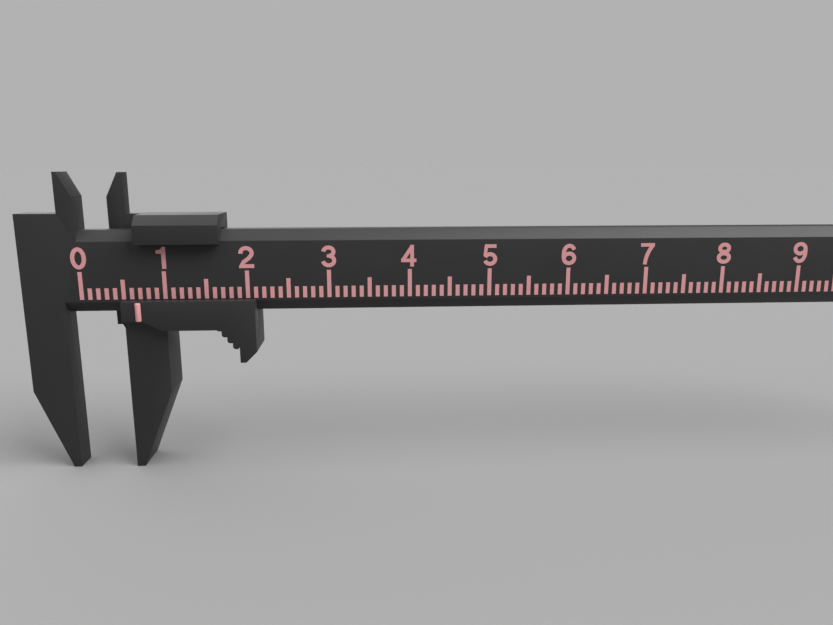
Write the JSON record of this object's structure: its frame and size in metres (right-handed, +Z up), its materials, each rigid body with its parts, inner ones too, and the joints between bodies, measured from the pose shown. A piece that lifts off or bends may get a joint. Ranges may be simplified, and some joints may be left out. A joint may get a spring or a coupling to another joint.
{
  "type": "slide caliper",
  "caption": "Plastic slide caliper with outside and inside jaws, a millimetre scale, and a sliding jaw with a thumb grip and an index bar.",
  "frame": {"origin": "on the measuring face of the fixed outside jaw, in the middle plane of the beam, 9.75 mm above the jaw tip", "axes": "+X along the beam from the fixed head towards the free end, -Y is the side with the scale, +Z up from the jaw tips to the beam"},
  "size_m": [0.126, 0.0066, 0.0371],
  "materials": {
    "black_plastic": "fine satin moulded black plastic",
    "pink_marking": "matte pink inlay",
    "screw_steel": "plain steel screw",
    "spring_steel": "plain spring steel strip"
  },
  "bodies": {
    "beam": {"beam_and_fixed_jaws": "black_plastic", "scale_marks_cm_0": "pink_marking", "scale_marks_cm_1": "pink_marking", "scale_marks_cm_2": "pink_marking", "scale_marks_cm_3": "pink_marking", "scale_marks_cm_4": "pink_marking", "scale_marks_cm_5": "pink_marking", "scale_marks_cm_6": "pink_marking", "scale_marks_cm_7": "pink_marking", "scale_marks_cm_8": "pink_marking", "scale_marks_cm_9": "pink_marking", "scale_mark_cm_10": "pink_marking", "numeral_0": "pink_marking", "numeral_1": "pink_marking", "numeral_2": "pink_marking", "numeral_3": "pink_marking", "numeral_4": "pink_marking", "numeral_5": "pink_marking", "numeral_6": "pink_marking", "numeral_7": "pink_marking", "numeral_8": "pink_marking", "numeral_9": "pink_marking", "numeral_10_tens": "pink_marking", "numeral_10_ones": "pink_marking", "end_stop": "black_plastic", "end_stop_screw_1": "screw_steel", "end_stop_screw_2": "screw_steel"},
    "slider": {"slider_body": "black_plastic", "index_bar": "pink_marking", "slider_friction_strip": "spring_steel"}
  },
  "joints": [
    {"name": "slider_travel", "type": "slide", "parent": "beam", "child": "slider", "axis": [1, 0, 0], "range_m": [-0.00704, 0.09295]}
  ]
}
